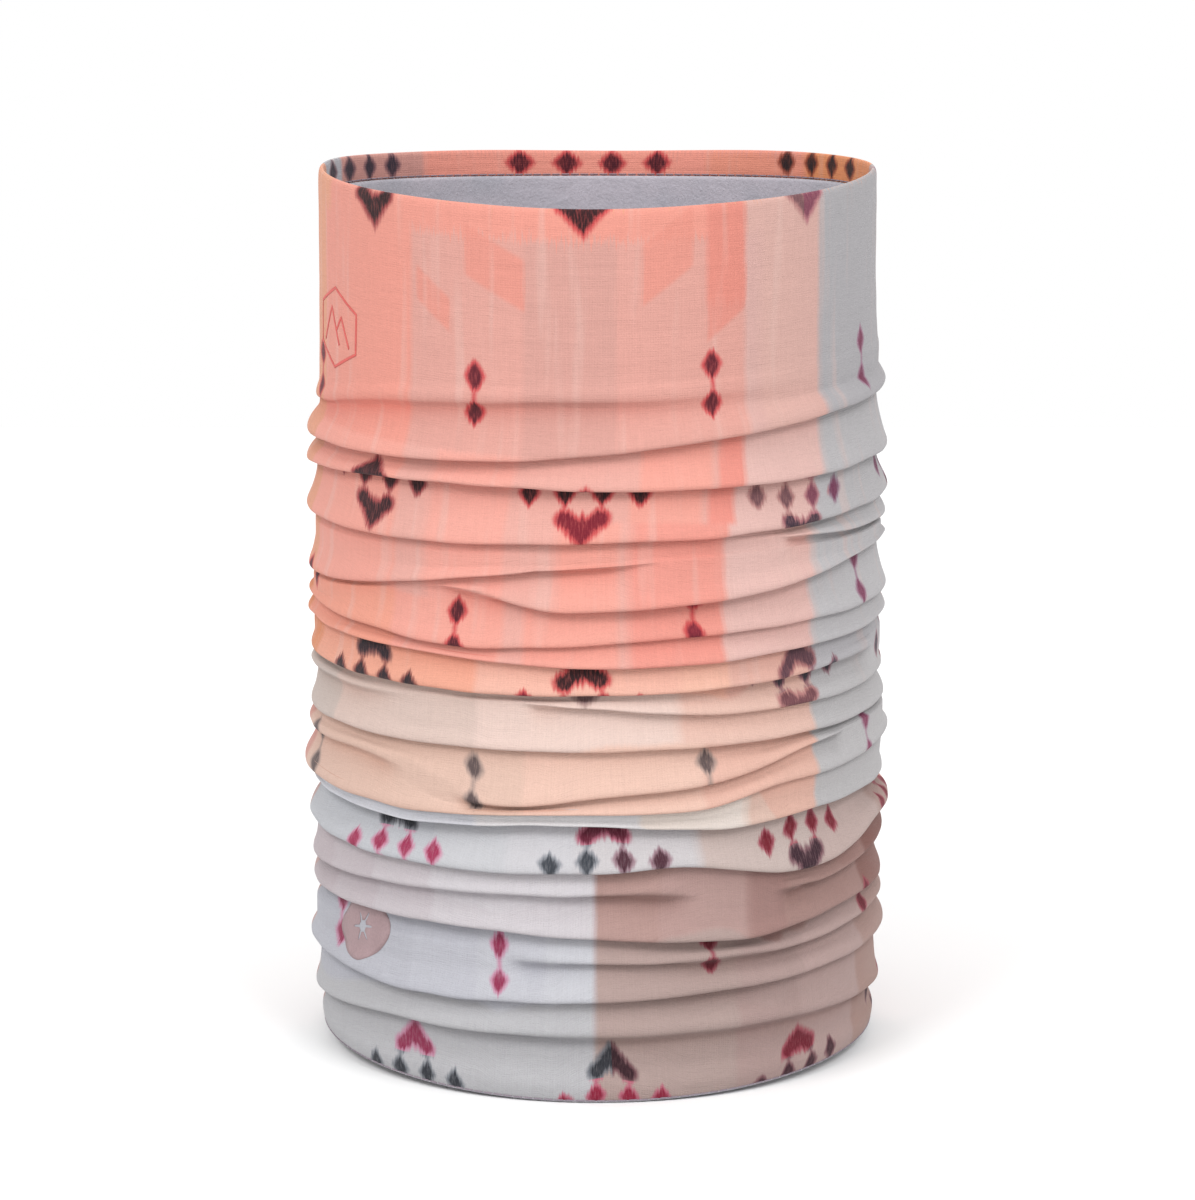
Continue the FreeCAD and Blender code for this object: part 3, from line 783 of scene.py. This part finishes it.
def print_material():
    paint = Paint("printed_jersey", 0.82)
    angle, cloth = paint.coordinates("cloth")
    column, row = paint.coordinates("print")
    across = angle * (math.radians(1) * 79.0)
    streak = paint.noise(across * 1.5, cloth * 0.10, 2.0)
    broad = paint.noise(across * 0.16, cloth * 0.012, 2.0)
    grain = paint.noise(across * 2.6, cloth * 2.2, 3.0, 0.7)
    slubs = paint.noise(across * 0.25, cloth * 2.4, 2.0)
    ground = ground_color(paint, angle, cloth, streak, broad)
    # figures, dyed in the yarn: their edges run in fine vertical spikes
    ragged = (paint.noise(across * 1.5, row * 9.0, 1.0) - 0.5) * 2.8
    depth = motif_depth(column, row, ragged) + (grain - 0.5) * 0.9
    thin = paint.noise(across * 2.2, cloth * 0.35, 2.0).step(0.25, 0.6)
    fringe = motif_color(paint, column, row, 2)
    middle = motif_color(paint, column, row, 1)
    color = paint.blend(depth.step(-1.0, 0.5) * (thin * 0.2 + 0.7), ground, fringe)
    color = paint.blend(depth.step(0.2, 1.4) * (thin * 0.3 + 0.68), color, middle)
    # painted shade: in the creases the colour is blended up to halfway towards itself times itself,
    # deepening it as light that has met the same cloth twice would
    _, shade = paint.coordinates("shade")
    color = paint.blend(shade * 0.5, color, paint.blend(1.0, color, color, "MULTIPLY"))
    # fine yarn texture
    wale = (across * (2 * math.pi / WALE_PITCH)).math("SINE")
    course = (cloth * (2 * math.pi / COURSE_PITCH)).math("SINE")
    knit = wale * 0.5 + course * 0.5
    uneven = (grain - 0.5) * 0.34 + (slubs - 0.5) * 0.16 + (streak - 0.5) * 0.14
    tone = uneven + knit * 0.012 + 1.0
    color = paint.blend(1.0, color, paint.grey(tone * DYE), "MULTIPLY")
    ripple = paint.noise(across * 0.03, cloth * 0.26, 2.0)
    relief = grain * 0.8 + slubs * 0.5 + knit * 0.15 + ripple * 2.4
    return paint.finish(color, relief, 0.16, sheen=0.06)


# ---- the lining ----
LINING_THICKNESS = 0.6
LINING_WALL = 76.0  # outer face of the lining's wall
FOLD_PITCH = 15.0  # mm from one soft inner fold to the next
FOLD_DEPTH = 2.9
LINING_FOLDS_TOP, LINING_FOLDS_BOTTOM, LINING_STEP = 205.0, 9.0, 2.5
# section at the top, from the hidden allowance down the wall: (radius, mm below the rim)
LINING_TOP_SECTION = [(76.85, 12.6), (76.85, 10.6), (76.8, 8.9), (76.6, 8.0), (76.35, 7.95), (76.3, 9.2),
                      (76.3, 13.0), (76.2, 20.0), (76.1, 30.0)]
# section at the foot, turned out under the print and up inside it: (radius, mm above the foot)
LINING_FOOT_SECTION = [(75.4, 5.0), (75.7, 2.6), (76.2, 1.0), (77.0, 0.62), (77.8, 0.62), (78.35, 0.75),
                       (78.1, 1.1), (77.3, 1.4), (76.8, 3.0), (76.7, 6.5)]


def lining_net(angles):
    """The brushed lining: allowance, wall with soft folds, foot turned out, allowance."""
    net = Net(angles)
    rim = RIM_LOW + edge_height(angles)
    foot = edge_height(angles)
    for radius, below in LINING_TOP_SECTION:
        net.add(radius, rim - below)
    bend, drift = wander(angles, 1, 5, 700), wander(angles, 2, 6, 701)
    count = int((LINING_FOLDS_TOP - LINING_FOLDS_BOTTOM) / LINING_STEP)
    for k in range(count + 1):
        z = LINING_FOLDS_TOP - k * LINING_STEP
        depth = FOLD_DEPTH * min(1.0, k / 14.0) * min(1.0, (count - k) / 5.0 + 0.1)
        turn = 2 * math.pi * z / FOLD_PITCH + 2.2 * bend + 0.02 * (z - 100) * drift
        net.add(LINING_WALL - depth * (1 + np.sin(turn)), z + foot * (1 - z / 250))
    for radius, above in LINING_FOOT_SECTION:
        net.add(radius, foot + above)
    return net


def make_lining():
    """The lining, and where it lies: (angles, radius, height)."""
    angles = np.linspace(SIDE_SEAM - 360, SIDE_SEAM, (COLUMNS * 2) // 3 + 1)
    net = lining_net(angles)
    radius, height = net.surface()
    piece = tube_mesh("lining_cloth", angles, radius, height, {})
    give_thickness(piece, LINING_THICKNESS)
    return piece, (angles, radius, height)


def lining_material():
    paint = Paint("brushed_lining", 0.95)
    place = paint.place()
    pile = paint.noise_at(place, 1100.0, 3.0, 0.7)
    tufts = paint.noise_at(place, 260.0, 3.0, 0.6)
    nap = paint.noise_at(place, 45.0, 2.0)
    tone = (pile - 0.5) * 0.4 + (tufts - 0.5) * 0.16 + (nap - 0.5) * 0.12 + 1.0
    color = paint.blend(nap.step(0.35, 0.65), (152, 150, 158), (161, 156, 164))
    color = paint.blend(1.0, color, paint.grey(tone), "MULTIPLY")
    return paint.finish(color, pile * 0.7 + tufts, 0.35, sheen=0.5)


# ---- stitches ----
def on_tube(angle, radius, height):
    """A point in mm at an angle round the tube."""
    turn = math.radians(angle)
    return np.array([radius * math.sin(turn), -radius * math.cos(turn), height])


def stitches(name, strands, radius=0.2, sides=6):
    """Round threads along point lists, rounded off at their ends, as one mesh."""
    points, faces = [], []
    for strand in strands:
        strand = np.array(strand, float)
        ahead = np.gradient(strand, axis=0)
        ahead /= np.linalg.norm(ahead, axis=1)[:, None]
        cap = ahead[[0, -1]] * radius * 0.7
        ends = np.vstack([strand[0] - cap[0], strand, strand[-1] + cap[1]])
        ahead = np.vstack([ahead[0], ahead, ahead[-1]])
        start = len(points)
        for n, (middle, forward) in enumerate(zip(ends, ahead)):
            side = np.cross(forward, (0.1, 0.2, 1.0) if abs(forward[2]) < 0.9 else (1.0, 0.1, 0.0))
            side /= np.linalg.norm(side)
            up = np.cross(side, forward)
            size = radius * (0.5 if n in (0, len(ends) - 1) else 1.0)
            for k in range(sides):
                turn = 2 * math.pi * k / sides
                points.append((middle + size * (math.cos(turn) * side + math.sin(turn) * up)) * MM)
        rings = len(ends)
        for n in range(rings - 1):
            for k in range(sides):
                a, b = start + n * sides + k, start + n * sides + (k + 1) % sides
                faces.append((a, b, b + sides, a + sides))
        faces.append(tuple(start + k for k in reversed(range(sides))))
        faces.append(tuple(start + (rings - 1) * sides + k for k in range(sides)))
    mesh = bpy.data.meshes.new(name)
    mesh.from_pydata([tuple(p) for p in points], [], faces)
    return place_mesh(name, mesh)


def speckled(name, color, roughness, fine, spots, depth):
    """A material of one colour, uneven in two sizes of noise.

    fine: (scale, detail, roughness, strength) of the grain that is also its relief, depth mm deep.
    spots: (scale, detail) of the broad patches.
    """
    paint = Paint(name, roughness)
    place = paint.place()
    grain = paint.noise_at(place, *fine[:3])
    patch = paint.noise_at(place, *spots)
    tone = (grain - 0.5) * fine[3] + (patch - 0.5) * 0.25 + 1.0
    return paint.finish(paint.blend(1.0, color, paint.grey(tone), "MULTIPLY"), grain, depth)


def running_stitches(radius, height_of, pitch, gap):
    """Short level stitches all the way round."""
    count = int(2 * math.pi * radius / pitch)
    step = 360.0 / count
    strands = []
    for k in range(count):
        start, end = k * step, (k + 1) * step - math.degrees(gap / radius)
        strands.append([on_tube(a, radius, height_of(a)) for a in np.linspace(start, end, 4)])
    return strands


def looper(inner, outer, height_of, rise, pitch):
    """A zigzag thread over raw edges, all the way round."""
    count = int(2 * math.pi * outer / pitch)
    line = []
    for k in range(count + 1):
        angle = 360.0 * k / count
        radius, up = (inner, rise) if k % 2 else (outer, 0.0)
        line.append(on_tube(angle, radius, height_of(angle) + up))
    return [line]


def down_stitches(radius, height, offset, pitch=3.0, gap=0.8):
    """Stitches down a side seam, on the hidden face of one cloth."""
    step = np.hypot(np.gradient(radius), np.gradient(height))
    along = np.concatenate([[0], np.cumsum(np.hypot(np.diff(radius), np.diff(height)))])
    out_r, out_z = -np.gradient(height) / step, np.gradient(radius) / step
    r, z = radius + offset * out_r, height + offset * out_z
    strands = []
    for start in np.arange(1.0, along[-1] - pitch, pitch):
        at = np.linspace(start, start + pitch - gap, 4)
        strands.append([on_tube(SIDE_SEAM, np.interp(a, along, r), np.interp(a, along, z)) for a in at])
    return strands


def make_threads(shell_lie, lining_lie):
    """Every thread piece, dressed as the CAD node that it stands for."""
    foot = lambda a: float(edge_height(np.array(float(a))))
    rim = lambda a: RIM_LOW + foot(a)
    # the side seams start below the hidden top allowance
    shell_radius, shell_height = (rows[3 * PER_SPAN:, -1] for rows in shell_lie[1:3])
    lining_radius, lining_height = (rows[4 * PER_SPAN:, -1] for rows in lining_lie[1:3])
    jobs = (
        ("top_needle_stitches", "top_seam_needle_thread",
         running_stitches(76.2, lambda a: rim(a) - TOP_SEAM, 2.8, 0.7)),
        ("top_looper_thread", "top_seam_looper_thread",
         looper(76.7, 77.7, lambda a: rim(a) - 12.9, 3.0, 1.6)),
        ("bottom_needle_stitches", "bottom_seam_needle_thread",
         running_stitches(EDGE_RADIUS - 0.1, lambda a: foot(a) + 0.75, 2.9, 0.8)),
        ("bottom_looper_thread", "bottom_seam_looper_thread",
         looper(76.3, 77.7, lambda a: foot(a) + 6.9, -3.2, 1.6)),
        ("shell_side_stitches", "shell_side_seam_thread",
         down_stitches(shell_radius, shell_height, -CLOTH_THICKNESS - 0.15)),
        ("lining_side_stitches", "lining_side_seam_thread",
         down_stitches(lining_radius, lining_height, 0.15)),
    )
    material = speckled("seam_thread", (128, 116, 126), 0.6, (2600.0, 2.0, 0.55, 0.6), (120.0, 1.0), 0.12)
    for name, node, strands in jobs:
        dress(stitches(name, strands), material, node)


# ---- the two printed marks ----
FILM_THICKNESS = 0.08
def on_shell(lie, angle, cloth, lift):
    """The point on the print at this angle and cloth distance, lifted off it, in mm."""
    angles, radius, height, distance = lie
    column = np.interp(angle, angles, np.arange(len(angles)))
    c = int(column)
    part = column - c
    ends = []
    for k in (c, min(c + 1, len(angles) - 1)):
        ends.append([np.interp(cloth, distance[:, k], rows[:, k]) for rows in (radius, height)])
    (r0, z0), (r1, z1) = ends
    return on_tube(angle, mix(r0, r1, part) + lift, mix(z0, z1, part))


def mark_mesh(name, lie, spot, strips, lift=0.07):
    """Flat shapes laid on the print. spot: (angle, cloth). strips: rows of (x, y) mm, y downwards."""
    points, faces = [], []
    angle, cloth = spot
    for rows in strips:
        start, width = len(points), len(rows[0])
        for row in rows:
            for x, y in row:
                turn = angle + math.degrees(x / WALL_RADIUS)
                points.append(tuple(on_shell(lie, turn, cloth + y, lift) * MM))
        for i in range(len(rows) - 1):
            for j in range(width - 1):
                a = start + i * width + j
                faces.append((a, a + width, a + width + 1, a + 1))
    mesh = bpy.data.meshes.new(name)
    mesh.from_pydata(points, [], faces)
    joined = bmesh.new()
    joined.from_mesh(mesh)
    bmesh.ops.remove_doubles(joined, verts=joined.verts, dist=1e-7)
    joined.to_mesh(mesh)
    joined.free()
    piece = place_mesh(name, mesh)
    solid = piece.modifiers.new("thickness", "SOLIDIFY")
    solid.thickness, solid.offset = FILM_THICKNESS * MM, 0
    return piece


def between(first, last, count):
    """Evenly spaced points from first to last."""
    start, way = np.array(first), np.array(last) - np.array(first)
    return [tuple(start + way * k / count) for k in range(count + 1)]


def stroke(corners, width):
    """A strip of even width along a line of corners."""
    line = []
    for first, last in zip(corners, corners[1:]):
        line += between(first, last, 8)[:-1]
    line.append(corners[-1])
    line = np.array(line)
    ahead = np.gradient(line, axis=0)
    if tuple(corners[0]) == tuple(corners[-1]):
        ahead[0] = ahead[-1] = line[1] - line[-2]
    ahead /= np.linalg.norm(ahead, axis=1)[:, None]
    side = np.stack([-ahead[:, 1], ahead[:, 0]], -1) * width / 2
    return [list(map(tuple, line - side)), list(map(tuple, line)), list(map(tuple, line + side))]


def peak_strips():
    """A hexagon outline with two mountain peaks in it."""
    turns = [math.radians(60 * k) for k in range(6)]
    corner = [(15.6 * math.sin(turn), -11.0 * math.cos(turn)) for turn in turns]
    corner.append(corner[0])
    tall = [(-9.5, 4.6), (-3.0, -5.4), (3.0, 4.6)]
    short = [(0.6, 0.9), (4.2, -3.4), (9.5, 4.6)]
    return [stroke(corner, 0.8), stroke(tall, 0.8), stroke(short, 0.8)]


def badge_strips():
    """A rounded lozenge with a six-armed star left open in the middle."""
    outer, inner = [], []
    for k in range(97):
        turn = 2 * math.pi * (k % 96) / 96
        c, s = math.cos(turn), math.sin(turn)
        reach = 1.0 / ((abs(c) / 12.5) ** 1.5 + (abs(s) / 10.0) ** 1.5) ** (1 / 1.5)
        arm = 1.7 + 3.0 * max(0.0, math.cos(6 * turn)) ** 3
        outer.append((reach * c, reach * s))
        inner.append((arm * c, arm * s))
    spokes = [between(a, b, 6) for a, b in zip(inner, outer)]
    return [[[spoke[n] for spoke in spokes] for n in range(7)]]


def dress(piece, material, node):
    """Give a piece its material and slot, on the body, in place of a CAD node."""
    piece.data.materials.append(material)
    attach(piece, "root")
    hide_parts(node)


# ---- make the pieces ----
shell, shell_lie = make_shell()
dress(shell, print_material(), "outer_shell")
lining, lining_lie = make_lining()
dress(lining, lining_material(), "lining")
make_threads(shell_lie, lining_lie)
FILM_GRAIN, FILM_SPOTS = (1500.0, 3.0, 0.7, 0.4), (150.0, 2.0)
upper_mark = mark_mesh("peak_mark", shell_lie, (-67.3, 41.2), peak_strips())
mark_film = speckled("mark_film", (188, 84, 78), 0.55, FILM_GRAIN, FILM_SPOTS, 0.05)
dress(upper_mark, mark_film, "upper_mark")
lower_badge = mark_mesh("star_badge", shell_lie, (-55.0, 373.4), badge_strips())
badge_film = speckled("badge_film", (142, 120, 122), 0.55, FILM_GRAIN, FILM_SPOTS, 0.05)
dress(lower_badge, badge_film, "lower_badge")


# ---- floor, lights, camera ----
SHOT_DISTANCE = 1.3842  # camera to the tube's axis
SHOT_HEIGHT = 0.3956
SHOT_TILT = 11.041  # degrees down
SHOT_LENS = 148.19  # mm on a 36 mm sensor


def make_camera():
    data = bpy.data.cameras.new("camera")
    data.lens, data.sensor_width = SHOT_LENS, 36
    camera = put("camera", data)
    camera.location = (0, -SHOT_DISTANCE, SHOT_HEIGHT)
    camera.rotation_euler = (math.radians(90 - SHOT_TILT), 0, 0)
    bpy.context.scene.camera = camera


def area_light(name, place, aim, size, power):
    data = bpy.data.lights.new(name, "AREA")
    data.shape, data.size, data.size_y = "RECTANGLE", size[0], size[1]
    data.energy = power
    light = put(name, data)
    light.location = place
    direction = (aim[0] - place[0], aim[1] - place[1], aim[2] - place[2])
    light.rotation_euler = Vector(direction).to_track_quat("-Z", "Y").to_euler()


def make_stage():
    mesh = bpy.data.meshes.new("floor")
    half = 1.1
    corners = [(-half, -half, 0), (half, -half, 0), (half, half, 0), (-half, half, 0)]
    mesh.from_pydata(corners, [], [(0, 1, 2, 3)])
    floor = put("floor", mesh)
    material = bpy.data.materials.new("pale_floor")
    material.use_nodes = True
    shader = material.node_tree.nodes["Principled BSDF"]
    shader.inputs["Base Color"].default_value = (0.74, 0.74, 0.74, 1)
    shader.inputs["Roughness"].default_value = 0.9
    mesh.materials.append(material)
    world = bpy.data.worlds.new("studio")
    world.use_nodes = True
    world.node_tree.nodes["Background"].inputs["Color"].default_value = (1, 1, 1, 1)
    world.node_tree.nodes["Background"].inputs["Strength"].default_value = 1.0
    bpy.context.scene.world = world
    bpy.context.scene.view_settings.view_transform = "Standard"
    middle = (0, 0, 0.12)
    area_light("key_left", (-1.0, -1.2, 1.6), middle, (1.0, 0.7), 25)
    area_light("key_right", (0.9, -1.3, 1.6), middle, (1.0, 0.7), 22)
    area_light("back", (0.0, 1.4, 1.5), middle, (1.2, 0.7), 9)


make_camera()
make_stage()
